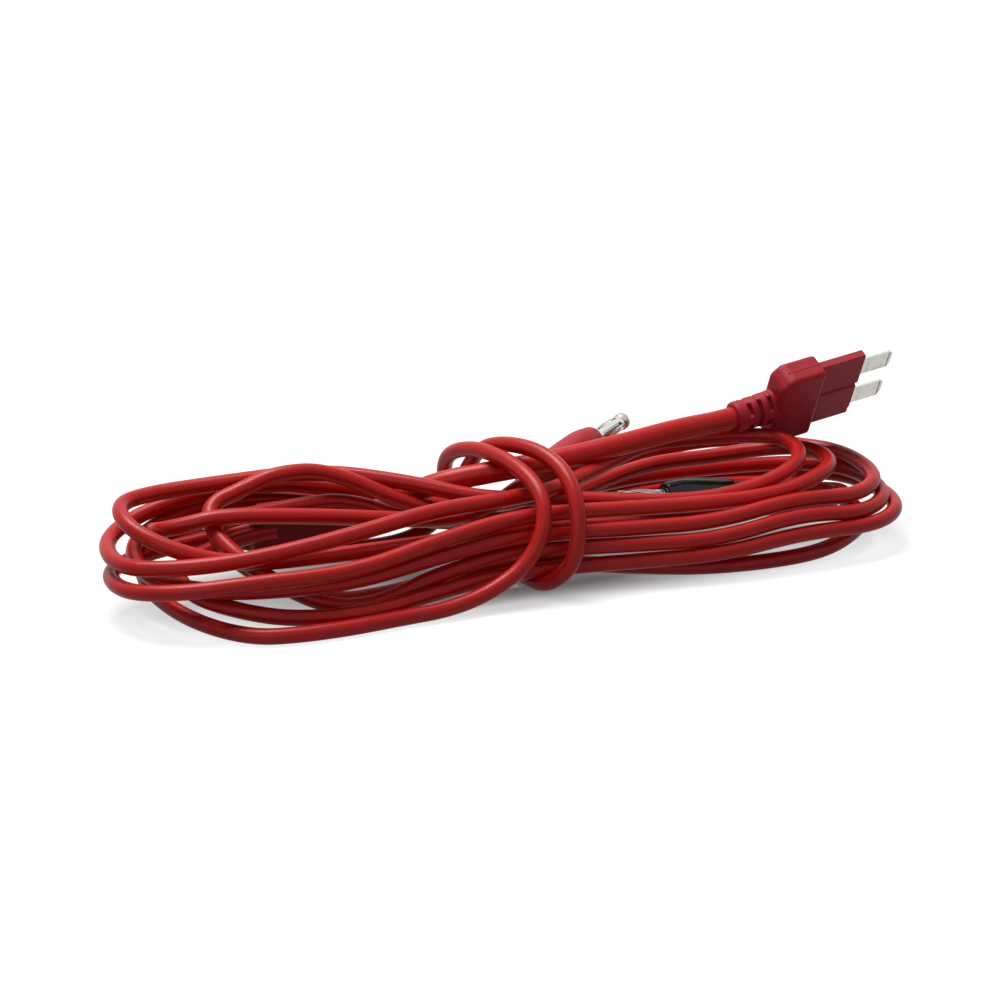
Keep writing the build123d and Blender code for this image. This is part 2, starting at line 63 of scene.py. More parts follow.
# A short two-core cord joins the blade plug to the splitter. It is one round extrusion of soft
# red PVC, 5 mm thick, that leaves the plug straight, runs over the waist of the hank and dives
# between the strands into the splitter.
def aimed(heading, rise):
    """The direction at these angles from +X."""
    heading, rise = math.radians(heading), math.radians(rise)
    return Vector((math.cos(rise) * math.cos(heading), math.cos(rise) * math.sin(heading), math.sin(rise)))


def strand(name, points, diameter):
    """A cord as one smooth spline, from points in millimetres."""
    curve = bpy.data.curves.new(name, "CURVE")
    curve.dimensions = "3D"
    curve.bevel_depth = 1.0
    curve.bevel_resolution = 7
    curve.use_fill_caps = True
    spline = curve.splines.new("NURBS")
    spline.points.add(len(points) - 1)
    for point, place in zip(spline.points, points):
        point.co = (*(Vector(place) * MM), 1)
        point.radius = diameter / 2 * MM
    spline.order_u = 3
    spline.use_endpoint_u = True
    spline.resolution_u = 12
    piece = bpy.data.objects.new(name, curve)
    bpy.context.collection.objects.link(piece)
    return piece


CORD_THICK = 5.0
plug_exit = Vector((53.7, 7.9, 27.5))
plug_way = aimed(6.7, 7.9)
splitter_face = Vector((-37, 13, 11.5))
cord_points = [
    plug_exit + 6 * plug_way, plug_exit - 3 * plug_way,
    (41.7, 6, 27), (34.4, 5, 26.4), (27, 3.9, 25.6), (18.5, 3, 24.8), (9.5, 2.7, 23.8), (0, 3, 22.9),
    (-9.1, 4.2, 21.8), (-16.4, 6.6, 20.3), (-22.3, 9.3, 17.8), (-27, 11.3, 15.1), (-31.4, 12.6, 12.8),
    splitter_face + Vector((-0.5, 0, 0)), splitter_face + Vector((-4, 0, 0)),
]
cord = strand("fused_cord", cord_points, CORD_THICK)
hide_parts("cord")
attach(cord, "lead_set")


class Value:
    """A number that a node gives, for sums written as Python expressions."""

    def __init__(self, finish, socket):
        self.finish = finish
        self.socket = socket

    def sum(self, operation, first, second):
        return self.finish.node("ShaderNodeMath", {"operation": operation}, {0: first, 1: second})

    def __add__(self, other):
        return self.sum("ADD", self, other)

    def __mul__(self, other):
        return self.sum("MULTIPLY", self, other)

    __radd__ = __add__
    __rmul__ = __mul__


class Finish:
    """A node material with one Principled shader."""

    def __init__(self, name, **fixed):
        self.material = bpy.data.materials.new(name)
        self.material.use_nodes = True
        self.tree = self.material.node_tree
        self.shader = self.tree.nodes["Principled BSDF"]
        for socket, value in fixed.items():
            self.shader.inputs[socket.replace("_", " ")].default_value = value
        self.place = self.node("ShaderNodeTexCoord", output="Object")

    def node(self, kind, settings=None, inputs=None, output=0):
        """Adds a node of this kind and returns one of its outputs."""
        node = self.tree.nodes.new(kind)
        for setting, value in (settings or {}).items():
            setattr(node, setting, value)
        for socket, value in (inputs or {}).items():
            self.feed(node.inputs[socket], value)
        return Value(self, node.outputs[output])

    def feed(self, socket, value):
        """Links a value to a socket, or sets it there."""
        if isinstance(value, Value):
            self.tree.links.new(value.socket, socket)
        else:
            socket.default_value = value

    def noise(self, scale, detail=3, stretch=(1, 1, 1)):
        """Soft noise from 0 to 1, of so many blotches to the metre."""
        place = self.node("ShaderNodeMapping", {}, {"Vector": self.place, "Scale": stretch})
        return self.node("ShaderNodeTexNoise", {}, {"Vector": place, "Scale": scale, "Detail": detail})

    def ramp(self, value, low, high):
        """0 below low and 1 above high."""
        return self.node("ShaderNodeMapRange", {"interpolation_type": "SMOOTHSTEP"},
                         {"Value": value, "From Min": low, "From Max": high})

    def mix(self, amount, first, second):
        """One colour over another."""
        return self.node("ShaderNodeMix", {"data_type": "RGBA"}, {0: amount, 6: first, 7: second}, output=2)

    def surface(self, colour, roughness, relief, depth):
        """Gives the shader what changes over the surface, with the relief's depth in metres."""
        self.feed(self.shader.inputs["Base Color"], colour)
        self.feed(self.shader.inputs["Roughness"], roughness)
        bump = self.node("ShaderNodeBump", {}, {"Height": relief, "Distance": depth, "Strength": 1.0})
        self.feed(self.shader.inputs["Normal"], bump)
        return self.material


def red_jacket(name, warm, deep):
    """Soft red PVC: faint cloudy colour, rubbed paler patches, dust-fine grain and a slow waviness."""
    jacket = Finish(name, Specular_IOR_Level=0.22)
    cloud = jacket.noise(70)
    rub = jacket.ramp(jacket.noise(260, 5), 0.52, 0.78)
    grain = jacket.noise(4200, 2)
    colour = jacket.mix(cloud, warm, deep)
    colour = jacket.mix(rub * 0.07, colour, (0.6, 0.05, 0.04, 1))
    roughness = 0.26 + 0.14 * jacket.noise(420) + 0.08 * rub
    return jacket.surface(colour, roughness, grain * 0.5 + jacket.noise(330, 2) * 1.6, 0.00003)


cord.data.materials.append(red_jacket("cord jacket", (0.52, 0.012, 0.009, 1), (0.42, 0.009, 0.008, 1)))

# Two thin leads in soft red PVC leave the splitter. They are folded to and fro into a loose hank,
# thirteen passes in all, and the red one is then wrapped twice round the waist to hold it. Each
# place below is in millimetres from the hank's own middle.
LEAD_THICK = 3.5
HANK_MIDDLE = np.array((-4.0, 5.0, 0.0))
ENDS = {
    # name: where the turn comes round
    "top left": (-87, -2.5, 22.6), "second left": (-90, -4, 13), "third left": (-90, -5.5, 9.5),
    "fourth left": (-83, -3, 8), "short left": (-67.5, 0.5, 19.4), "inner left": (-76, -6, 8),
    "last left": (-67, -3, 17), "return": (-80, 1.5, 15.5),
    "top right": (71, -4, 22.7), "second right": (78.5, -4, 19.5), "outer right": (89.8, -2, 13.8),
    "lower right": (90.8, -5, 12.4), "lowest right": (92.8, -8, 10.2), "inner right": (86, -4, 6.5),
}
PASSES = {
    # name: y and z in the left lobe, at the waist, and in the right lobe
    "front high": (-27, 12.3, -18.5, 17.2, -20, 15.8),
    "cross over": (-22, 15.2, -13.5, 19.8, 6, 23.4),
    "cross back": (8.5, 23.2, -8.5, 18.8, -17, 16.6),
    "arch": (3.5, 26, -5, 12.5, 12, 16),
    "front low": (-24.6, 3.2, -20, 9, -26.5, 9),
    "rear high": (14.5, 19.3, 5.5, 11.5, 18, 11.5),
    "top front": (-17.5, 12.2, -15.5, 12.4, -14.5, 10.8),
    "floor front": (-27.5, 3.6, -18.5, 5, -27, 6.8),
    "rear low": (15.5, 15.4, 9.5, 7.8, 22, 8),
    "middle front": (-24.5, 8, -19.5, 12.6, -24, 12),
    "inside": (6, 17.2, 0, 10.5, 21, 14.2),
    "under front": (-20.5, 4.2, -16, 4.6, -24.5, 2),
    "rear top": (19, 16.8, 4, 7.2, 14, 8),
}
DIVES = {
    # name: which of the pass's eight points leave its plain way, and where they lie instead
    "cross over": {1: (-42, -20.5, 17.6), 2: (-22, -16.5, 19.8)},
    "cross back": {1: (-40, 9, 23.9), 2: (-22, 1, 22)},
    "arch": {0: (-50, 3, 26.2), 1: (-38, 4.8, 25.4)},
    "front low": {7: (62, -25, 12.3)},
    "floor front": {7: (62, -26, 9.2)},
    "middle front": {7: (62, -22.5, 14.6)},
    "inside": {2: (-20.5, 0.5, 12.2), 7: (62, 21.5, 16)},
    "rear top": {2: (-21, 13.5, 12)},
}


def along(name, left_reach, right_reach, to_the_right):
    """The eight points of one pass, from the left lobe through the waist to the right lobe."""
    left_y, left_z, waist_y, waist_z, right_y, right_z = PASSES[name]
    lobe_end, turn_depth = 64, 22
    far_left = -min(lobe_end, left_reach - turn_depth)
    far_right = min(lobe_end, right_reach - turn_depth)
    points = [
        (far_left, left_y * 0.98, left_z),
        (max(-42, (far_left - 21) / 2 - 1), left_y, left_z),
        (-22, left_y + (waist_y - left_y) * 0.55, left_z + (waist_z - left_z) * 0.6),
        (-6, waist_y + (left_y - waist_y) * 0.1, waist_z),
        (8, waist_y + (right_y - waist_y) * 0.12, waist_z),
        (24, waist_y + (right_y - waist_y) * 0.6, waist_z + (right_z - waist_z) * 0.6),
        (min(42, (far_right + 24) / 2 + 1), right_y, right_z),
        (far_right, right_y * 0.98, right_z),
    ]
    for place, point in DIVES.get(name, {}).items():
        points[place] = point
    return points if to_the_right else points[::-1]


def around(name, before, after):
    """The four points of a turn between the passes at (y, z) before and after it."""
    x, y, z = ENDS[name]
    outwards = math.copysign(1, x)
    half = abs(before[0] - after[0]) / 2
    deep, flat = min(11, 0.75 * half), min(1.2, 0.1 * half)
    points = []
    for strand_y, strand_z, spread, climb, inset in (
        (*before, 0.84, 0.62, deep), (*before, 0.42, 0.2, flat),
        (*after, 0.42, 0.2, flat), (*after, 0.84, 0.62, deep),
    ):
        points.append((x - outwards * inset, y + (strand_y - y) * spread, z + (strand_z - z) * climb))
    return points


def laid(steps):
    """A lead's points in the frame: a step is an end's name, a pass's name or a point."""
    points = []
    for before, step, after in zip([None] + steps, steps, steps[1:] + [None]):
        if step in PASSES:
            reach = [abs(ENDS[end][0]) if end in ENDS else 90 for end in (before, after)]
            to_the_right = before in ENDS and ENDS[before][0] < 0
            left, right = reach if to_the_right else reach[::-1]
            points += along(step, left, right, to_the_right)
        elif step in ENDS:
            side = slice(0, 2) if ENDS[step][0] < 0 else slice(4, 6)
            sides = [PASSES[part][side] if part in PASSES else part[1:] for part in (before, after)]
            points += around(step, *sides)
        else:
            points.append(step)
    return np.array(points) + HANK_MIDDLE


def from_frame(*points):
    """Points of the frame, moved to the hank's own middle."""
    return [tuple(np.array(point) - HANK_MIDDLE) for point in points]


BANANA_PLACES = {
    "red": (Vector((24.3, 20, 21.9)), aimed(32.7, 8.5)),
    "black": (Vector((35.2, 4, 11.7)), aimed(188, 6)),
}


def into_plug(colour):
    """The last points of a lead, straight into its banana plug's neck."""
    face, way = BANANA_PLACES[colour]
    return from_frame(face - 31 * way, face - 26 * way, face - 20.5 * way)


wraps = from_frame(
    # along the ground to the waist
    (-59.5, -27.4, 1.9), (-48.5, -27, 1.8), (-37, -25.2, 1.9), (-26, -24.5, 2.2), (-16, -22.7, 4.2),
    # the first wrap: up the front, over the top, down behind and back under the hank
    (-7, -21.5, 9), (-2.4, -20.5, 17), (-1.4, -15, 23.4), (-3.6, -3, 26.4), (-7.4, 9, 26.6),
    (-10.8, 18.5, 23.2), (-11, 22.8, 17), (-10, 21.5, 8.5), (-7.5, 15, 3), (-5.5, 4, 1.9),
    (-4.5, -8, 1.9), (-2, -18.5, 2.8),
    # the second wrap, and away along the back
    (3, -23, 9.5), (4.2, -21, 20), (4, -14, 26.2), (1.2, -5, 28.8), (-3.8, 4, 28.7), (-7.2, 12, 25.8),
    (-7.8, 18, 19.5), (-11, 20.5, 10), (-16.5, 17.8, 6.5), (-24, 14.8, 4.9), (-34, 13.5, 4.6),
    (-50, 16, 4.8),
)
black_steps = [
    *from_frame((-54, 15.2, 11.5), (-59, 15.2, 11.5), (-66, 15.4, 11.4)),
    "third left", "front high", "second right", "arch", "short left", "front low", "lower right",
    "rear high", "second left", "cross over", "top right", "cross back", "top left", "top front",
    (71, -14.2, 10.4), (80.8, -9, 9.6), (84, -2.5, 8.6), (81, 3, 7.6), (75, 4.2, 7.6),
    *into_plug("black"),
]
red_steps = [
    *from_frame((-54, 10.8, 11.5), (-59, 10.8, 11.5)),
    "inner left", "floor front", "lowest right", "rear low", "fourth left", "middle front",
    "outer right", "inside", "last left", "under front", "inner right", "rear top",
    (-72, 15, 14.5), (-79, 8.5, 10), (-80.5, -2, 7), (-77.5, -13.5, 4.6), (-72, -23.5, 3),
    (-64.5, -31, 2.1), *wraps, (-60, 13, 8), "return",
    (-66, -6, 19.4), (-48, -7, 18), (-30, -6.5, 15.4), (-16, -6, 13.4), (-7, -4.5, 14.2), (-1, -3.5, 16),
    *into_plug("red"),
]


def settled(leads, cord_line, still, rounds=60):
    """The leads' points after strands that overlap have pushed each other apart.

    still has straight stiff pieces, each with its two ends and its radius, that stay in place.
    """
    parts, still_parts, clearance = 5, 8, 0.05
    shares = []
    for line in [*leads, cord_line]:
        share = np.zeros(((len(line) - 2) * parts, len(line)))
        for i in range(len(line) - 2):
            for j in range(parts):
                t = j / parts
                share[i * parts + j, i:i + 3] = ((1 - t) ** 2 / 2, (1 + 2 * t - 2 * t * t) / 2, t * t / 2)
        shares.append(share)
    still_points = np.array([
        a + (b - a) * i / (still_parts - 1) for a, b, _ in still for i in range(still_parts)
    ])
    sizes = [len(share) for share in shares]
    owner = np.repeat([0, 1, 2, 3], [*sizes, len(still_points)])
    order = np.concatenate([np.arange(size) for size in [*sizes, len(still_points)]])
    radius = np.concatenate([
        np.full(sizes[0] + sizes[1], LEAD_THICK / 2), np.full(sizes[2], CORD_THICK / 2),
        np.repeat([size for _, _, size in still], still_parts),
    ])
    one_strand = (owner[:, None] == owner[None]) & (abs(order[:, None] - order[None]) < 3 * parts)
    one_strand |= (owner[:, None] == 3) & (owner[None] == 3)
    wanted = radius[:, None] + radius[None] + clearance
    lines = [line.copy() for line in leads]
    for _ in range(rounds):
        every = np.concatenate([s @ line for s, line in zip(shares, [*lines, cord_line])] + [still_points])
        apart = every[:, None] - every[None]
        distance = np.linalg.norm(apart, axis=2) + 1e-6
        overlap = np.where(one_strand, 0, np.clip(wanted - distance, 0, None))
        push = (apart * (overlap / distance)[:, :, None]).sum(axis=1) / 2
        push /= np.maximum(1, (overlap > 0).sum(axis=1))[:, None]
        first = 0
        for i, (share, start) in enumerate(zip(shares, leads)):
            pushed = share.T @ push[first:first + len(share)]
            step = pushed / np.maximum(share.sum(axis=0), 0.3)[:, None] * 1.6
            # The ends are held by the splitter and by the plug's neck
            step[:3] = 0
            step[-5:] = 0
            moved = lines[i] + step - start
            # A stiff lead shares a push with its neighbouring points
            moved[1:-1] = moved[1:-1] * 0.8 + (moved[:-2] + moved[2:]) * 0.1
            lines[i] = start + moved
            lines[i][:, 2] = np.maximum(lines[i][:, 2], LEAD_THICK / 2)
            first += len(share)
    return lines


PLUG_LEAN = 31
splitter_sides = [splitter_face + Vector((0, y, 0)) for y in (-1.5, 1.5)]
still_pieces = [(np.array(side + Vector((-21, 0, 0))), np.array(side + Vector((-1, 0, 0))), 3.4)
                for side in splitter_sides]
plug_side = Vector((-plug_way.y, plug_way.x, 0)).normalized()
plug_down = (Matrix.Rotation(math.radians(PLUG_LEAN), 3, plug_way) @ plug_side).cross(plug_way)
# The blade plug's strain relief, and two lines in the lower half of its head
for start, end, down, size in ((0, 9, 0, 3.6), (12.5, 19.5, 7, 3.3), (11, 19.5, 2.5, 3.3)):
    line_start = plug_exit + start * plug_way + down * plug_down
    still_pieces.append((np.array(line_start), np.array(line_start + (end - start) * plug_way), size))
for face, way in BANANA_PLACES.values():
    still_pieces.append((np.array(face - 18 * way), np.array(face), 3.95))
    still_pieces.append((np.array(face - 26 * way), np.array(face - 18 * way), 2.85))
black_line, red_line = settled(
    [laid(black_steps), laid(red_steps)],
    np.array([tuple(point) for point in cord_points]),
    still_pieces,
)
black_lead = strand("black_lead", black_line, LEAD_THICK)
red_lead = strand("red_lead", red_line, LEAD_THICK)
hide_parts("hank", "black_tail")
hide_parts("hank", "tie", "red_tail")
lead_jacket = red_jacket("lead jacket", (0.5, 0.011, 0.008, 1), (0.38, 0.008, 0.007, 1))
for lead in (black_lead, red_lead):
    lead.data.materials.append(lead_jacket)
    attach(lead, "lead_set")


# The splitter is a small moulded boot of red PVC like the leads, coloured much darker as painted shade:
# the deep shade inside the hank. It lies inside the hank, holds the end of the cord on one side and the
# two leads on the other, and has a ridge where the mould met.
def seat(origin, forward, lean=0):
    """From a piece's own millimetres, x along its axis and z through its thickness, to the frame."""
    sideways = Vector((-forward.y, forward.x, 0)).normalized()
    through = Matrix.Rotation(math.radians(lean), 3, forward) @ sideways
    turn = Matrix((forward, through.cross(forward), through)).transposed()
    return Matrix.Translation(origin * MM) @ turn.to_4x4() @ Matrix.Scale(MM, 4)


def block(low, high, round_size=0.3, steps=3, taper=1.0):
    """A block between two corners, with rounded edges. taper widens its far end."""
    mesh = bmesh.new()
    bmesh.ops.create_cube(mesh, size=1)
    for vert in mesh.verts:
        share = vert.co + Vector((0.5, 0.5, 0.5))
        vert.co = Vector([a + (b - a) * s for a, b, s in zip(low, high, share)])
        if share.x > 0.5:
            vert.co.y *= taper
            vert.co.z *= taper
    bmesh.ops.bevel(mesh, geom=mesh.edges, offset=round_size, segments=steps, profile=0.5,
                    affect="EDGES", material=-1)
    return mesh


def turned(profile, start=0, sweep=360, steps=48):
    """A shape turned about the x axis from (x, radius) points."""
    mesh = bmesh.new()
    verts = [mesh.verts.new((x, radius, 0)) for x, radius in profile]
    edges = [mesh.edges.new(pair) for pair in zip(verts, verts[1:])]
    bmesh.ops.rotate(mesh, verts=verts, cent=(0, 0, 0), matrix=Matrix.Rotation(math.radians(start), 3, "X"))
    bmesh.ops.spin(mesh, geom=verts + edges, cent=(0, 0, 0), axis=(1, 0, 0), dvec=(0, 0, 0),
                   angle=math.radians(sweep), steps=steps, use_merge=sweep == 360, use_duplicate=False)
    return mesh


def placed(part, turn=0, shift=(0, 0, 0)):
    """A part after a turn about the x axis and a shift."""
    place = Matrix.Translation(shift) @ Matrix.Rotation(math.radians(turn), 4, "X")
    bmesh.ops.transform(part, matrix=place, verts=part.verts)
    return part


def together(*parts):
    """One closed mesh of several parts, with every face outwards."""
    whole = bmesh.new()
    for part in parts:
        bmesh.ops.remove_doubles(part, verts=part.verts, dist=0.0005)
        bmesh.ops.recalc_face_normals(part, faces=part.faces)
        carrier = bpy.data.meshes.new("part")
        part.to_mesh(carrier)
        part.free()
        whole.from_mesh(carrier)
        bpy.data.meshes.remove(carrier)
    return whole


def finished(name, mesh, place, material, body, crease=35):
    """Moves a mesh to its place and makes it a piece of the object."""
    bmesh.ops.transform(mesh, matrix=place, verts=mesh.verts)
    for face in mesh.faces:
        face.smooth = True
    data = bpy.data.meshes.new(name)
    mesh.to_mesh(data)
    mesh.free()
    data.set_sharp_from_angle(angle=math.radians(crease))
    data.materials.append(material)
    piece = bpy.data.objects.new(name, data)
    bpy.context.collection.objects.link(piece)
    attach(piece, body)
    return piece


def moulded(piece, fineness, softness):
    """Runs the blocks of a moulding into one skin with soft edges and corners."""
    remesh = piece.modifiers.new("one skin", "REMESH")
    remesh.mode = "VOXEL"
    remesh.voxel_size = fineness * MM
    remesh.use_smooth_shade = True
    smooth = piece.modifiers.new("soft edges", "SMOOTH")
    smooth.factor = 0.5
    smooth.iterations = softness


def moulding_finish(name, colour, deep, roughness):
    """Matte moulded PVC with a fine spark-eroded grain and faint sink clouds."""
    finish = Finish(name, Specular_IOR_Level=0.25)
    shade = finish.mix(finish.noise(150), colour, deep)
    shade = finish.mix(finish.ramp(finish.noise(900, 6), 0.6, 0.8) * 0.08, shade, (0.5, 0.06, 0.07, 1))
    relief = finish.noise(3000, 3) + finish.noise(260, 2) * 1.5
    return finish.surface(shade, roughness + 0.14 * finish.noise(500, 4), relief, 0.00004)


splitter_place = seat(splitter_face, Vector((-1, 0, 0)))
boot_body = block((1.2, -3.5, -5.5), (20.8, 3.5, 5.5), 1.4)
mould_ridge = block((1.6, -5.62, -0.14), (20.4, 5.62, 0.14), 0.06, 1)
cord_cuff = [(0, 0), (0, 3.1), (0.3, 3.4), (1, 3.5), (3, 3.5), (3, 0)]
lead_cuff = [(22, 0), (22, 2.3), (21.7, 2.55), (21, 2.65), (19, 2.65), (19, 0)]
LEAD_APART = 2.2
mesh = together(
    placed(boot_body, 90),
    placed(mould_ridge),
    placed(turned(cord_cuff)),
    placed(turned(lead_cuff), 0, (0, LEAD_APART, 0)),
    placed(turned(lead_cuff), 0, (0, -LEAD_APART, 0)),
)
# The boot's red is far darker than the leads' red: painted shade, standing in for the shade inside the hank
splitter_painted_shade_finish = moulding_finish("splitter moulding in painted shade", (0.2, 0.006, 0.006, 1), (0.15, 0.005, 0.005, 1), 0.5)
boot = finished("splitter_boot", mesh, splitter_place, splitter_painted_shade_finish, "lead_set")
moulded(boot, 0.2, 4)
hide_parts("splitter")


# The blade plug's overmould is one soft crimson PVC moulding: a collar round the cord, a strain
# relief with rows of slots on its four sides that let it bend, and a thick head with chamfered
# shoulders. A fine parting seam runs along the middle of the narrow faces and over the shoulder.
plug_place = seat(plug_exit, plug_way, PLUG_LEAN)
RELIEF_START, RELIEF_END = 2.75, 9.9
SLOT_ROWS = ((2.75, 3.8), (5.3, 6.35), (7.9, 8.95))
RIB_WIDTH = 2.1
HEAD_MIDDLE = 15.65
HEAD_SIZE = (11.7, 20.8, 6.6)
SHOULDER_CUT = 2.3
HEAD_ROUND = 1.05


def relief_bar(start, end, fullness=1.0):
    """A stretch of the strain relief, which grows from round to oval towards the head."""
    mesh = bmesh.new()
    bmesh.ops.create_cone(mesh, cap_ends=True, segments=48, radius1=1, radius2=1, depth=1,
                          matrix=Matrix.Rotation(math.radians(90), 4, "Y"))
    for vert in mesh.verts:
        x = start if vert.co.x < 0 else end
        share = (x - RELIEF_START) / (RELIEF_END - RELIEF_START)
        broad, thick = (3.6 + 1.1 * share), (3.6 - 0.2 * share)
        vert.co = Vector((x, vert.co.y * broad * fullness, vert.co.z * thick * fullness))
    return mesh


relief = [placed(relief_bar(RELIEF_START - 1, RELIEF_END + 1, 0.66))]
for (_, before), (after, _) in zip(((0, 2), *SLOT_ROWS), (*SLOT_ROWS, (10.4, 0))):
    relief.append(placed(relief_bar(max(before, 1.5), after)))
for side in range(4):
    # The rib at the lower front is broken by the long slot of the middle row
    for start, end in ((2, SLOT_ROWS[1][0]), (SLOT_ROWS[1][1], 10.5)) if side == 0 else ((2, 10.5),):
        flare = 1.22 if side % 2 else 1.0
        rib = block((start, -RIB_WIDTH / 2, -3.5), (end, RIB_WIDTH / 2, -1), 0.3, taper=flare)
        relief.append(placed(rib, -16 - 90 * side))
head = bmesh.new()
bmesh.ops.create_cube(head, size=1)
head_place = Matrix.Translation((HEAD_MIDDLE, 0, 0)) @ Matrix.Diagonal((*HEAD_SIZE, 1))
bmesh.ops.transform(head, matrix=head_place, verts=head.verts)
back_edges = [e for e in head.edges if all(v.co.x < HEAD_MIDDLE for v in e.verts)]
shoulders = [e for e in back_edges if e.verts[0].co.y == e.verts[1].co.y]
bmesh.ops.bevel(head, geom=shoulders, offset=SHOULDER_CUT, segments=1, profile=0.5,
                affect="EDGES", material=-1)
bmesh.ops.bevel(head, geom=head.edges, offset=HEAD_ROUND, segments=4, profile=0.5,
                affect="EDGES", material=-1)
collar_line = [(0, 0), (0, 3.0), (0.12, 3.3), (0.4, 3.52), (0.8, 3.6), (2.75, 3.6), (2.75, 0)]
face_seam = block((12.4, -10.5, -0.16), (21.2, 10.5, 0.16), 0.1, 1)
shoulder_seam = block((13.2, -10.5, -2.4), (13.5, 10.5, 2.4), 0.1, 1)
mesh = together(
    placed(turned(collar_line)), *relief, placed(head), placed(face_seam), placed(shoulder_seam))
crimson = moulding_finish("plug moulding", (0.37, 0.011, 0.022, 1), (0.31, 0.009, 0.018, 1), 0.45)
moulding = finished("plug_moulding", mesh, plug_place, crimson, "lead_set")
moulded(moulding, 0.14, 3)
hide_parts("overmould")


# The flat body is shaped like a regular blade fuse, so that it goes into the same socket. It is a
# harder, duller red moulding, with a groove down the middle of each face and a front edge that
# steps back a little below each blade.
BODY_BACK = 17
BODY_SIDE = 9.65
BODY_FACE = 1.05
BODY_PARTS = (
    # low y, high y and front end: two faces beside the groove, the lower step, its root, the back
    (-BODY_SIDE, -0.45, 33.5), (0.45, 7.9, 33.3), (7.9, BODY_SIDE, 33), (6, BODY_SIDE, 33),
    (-BODY_SIDE, BODY_SIDE, 22.2),
)
flat_parts = [placed(block((BODY_BACK, -9.6, -0.6), (33.3, 9.6, 0.6), 0.15))]
for low, high, end in BODY_PARTS:
    flat_parts.append(placed(block((BODY_BACK, low, -BODY_FACE), (end, high, BODY_FACE), 0.2)))
mesh = together(*flat_parts)
fuse_red = moulding_finish("fuse body", (0.38, 0.03, 0.036, 1), (0.32, 0.025, 0.03, 1), 0.52)
plug_body = finished("plug_body", mesh, plug_place, fuse_red, "lead_set")
moulded(plug_body, 0.12, 3)
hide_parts("fuse_body")


# Two flat blades of tinned brass stand in the body. They are punched from strip: the corners of
# the tip are cropped, its edges are coined thin to lead in, and a shallow crease crosses the root.
def bare_metal(name, colour, roughness, streaks, tarnish):
    """Bright plated metal with fine drawn lines along it and a little tarnish."""
    metal = Finish(name, Metallic=1.0)
    lines = metal.noise(1500, 4, streaks)
    stain = metal.ramp(metal.noise(700, 5), 0.5, 0.75)
    shade = metal.mix(stain * 0.5, colour, tarnish)
    dull = roughness + 0.1 * lines + 0.12 * stain
    return metal.surface(shade, dull, lines * 0.7 + metal.noise(900) * 0.8, 0.000012)


BLADE_WIDTH = 5.2
BLADE_SPACING = 9.75
BLADE_TIP = 42.2
TIP_CROP = 1.0
tin = bare_metal("tin", (0.72, 0.7, 0.65, 1), 0.24, (0.15, 1, 1), (0.42, 0.4, 0.36, 1))
for side, line in (("upper", -BLADE_SPACING / 2), ("lower", BLADE_SPACING / 2)):
    mesh = bmesh.new()
    # x and half thickness: the root, the crease, and the coined tip
    outline = [(14.5, 0.26), (34.9, 0.26), (35.1, 0.18), (35.4, 0.18), (35.6, 0.26), (41.2, 0.26)]
    outline.append((BLADE_TIP, 0.12))
    outline += [(x, -z) for x, z in reversed(outline)]
    verts = [mesh.verts.new((x, line - BLADE_WIDTH / 2, z)) for x, z in outline]
    flat = mesh.faces.new(verts)
    pushed = bmesh.ops.extrude_face_region(mesh, geom=[flat])["geom"]
    far_side = [v for v in pushed if isinstance(v, bmesh.types.BMVert)]
    bmesh.ops.translate(mesh, verts=far_side, vec=(0, BLADE_WIDTH, 0))
    for way in (-1, 1):
        crop_y = line + way * BLADE_WIDTH / 2 - way * TIP_CROP
        bmesh.ops.bisect_plane(mesh, geom=mesh.verts[:] + mesh.edges[:] + mesh.faces[:], clear_outer=True,
                               plane_co=(BLADE_TIP, crop_y, 0), plane_no=(1, way, 0))
        rim = [e for e in mesh.edges if e.is_boundary]
        bmesh.ops.contextual_create(mesh, geom=rim)
    bmesh.ops.recalc_face_normals(mesh, faces=mesh.faces)
    for facing in (1, -1):
        broad = [f for f in mesh.faces if f.normal.z * facing > 0.7]
        bmesh.ops.inset_region(mesh, faces=broad, thickness=0.34, depth=0.09, use_even_offset=True)
    blade = finished(f"contact_{side}", together(placed(mesh)), plug_place, tin, "lead_set", 12)
    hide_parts(f"blade_{side}")


# Each banana plug has a turned nickel pin in a soft moulded sleeve that swells behind the front
# face, and a long neck that grips the lead. The red sleeve is matte, the black one is glossy.
sleeve_line = [
    # the front face and its rim
    (-1.2, 1.9), (-0.15, 1.95), (0, 2.15), (0, 2.9), (-0.1, 3.1), (-0.4, 3.28), (-1, 3.42),
    # the swell and the long taper behind it
    (-2, 3.6), (-3.2, 3.83), (-4.5, 3.99), (-6, 4.05), (-8, 4.03), (-10.5, 3.95), (-13.5, 3.8), (-16.5, 3.66),
    # the step down to the neck, the neck, and the bore for the lead
    (-17.6, 3.6), (-17.95, 3.45), (-18.4, 3.1), (-19.1, 2.86), (-20, 2.8), (-22.5, 2.73), (-25, 2.66),
    (-26.4, 2.62), (-26.85, 2.5), (-27, 2.3), (-27, 1.72), (-20, 1.72),
]
black_shine = Finish("black insulator", Specular_IOR_Level=0.28)
smear = black_shine.noise(300, 4)
sleeve_finishes = {
    "red": moulding_finish("red insulator", (0.42, 0.016, 0.025, 1), (0.35, 0.013, 0.02, 1), 0.4),
    "black": black_shine.surface(
        black_shine.mix(smear, (0.008, 0.008, 0.009, 1), (0.016, 0.014, 0.015, 1)), 0.14 + 0.2 * smear,
        black_shine.noise(1200, 3) + black_shine.noise(200) * 2, 0.00003),
}
nickel = bare_metal("nickel", (0.5, 0.485, 0.45, 1), 0.18, (1, 0.2, 0.2), (0.42, 0.4, 0.36, 1))
plug_pieces = {"red": [], "black": []}
